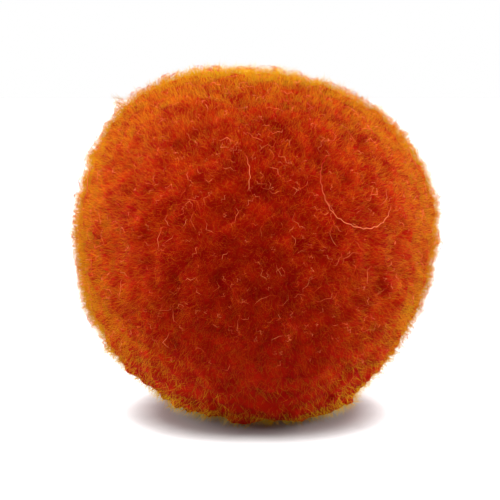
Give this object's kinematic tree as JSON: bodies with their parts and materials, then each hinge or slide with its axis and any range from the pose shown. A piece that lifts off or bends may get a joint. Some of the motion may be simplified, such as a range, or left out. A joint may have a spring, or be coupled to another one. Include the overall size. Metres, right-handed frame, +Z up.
{
  "type": "pom pom",
  "caption": "Plush pom pom: a dense ball of cut and tumbled pile, slightly uneven, pressed flat where it rests.",
  "frame": {"origin": "on the surface that the ball rests on, under the middle of its bounding box", "axes": "+Z up from the resting spot to the crown, +X to the right along the ball's width seen from the front, +Y away from the viewer"},
  "size_m": [0.025, 0.0248, 0.0237],
  "materials": {
    "acrylic_pile": "soft matte cut pile, deep red at the roots and golden orange at the tips"
  },
  "bodies": {
    "root": {"pile_ball": "acrylic_pile"}
  },
  "joints": []
}
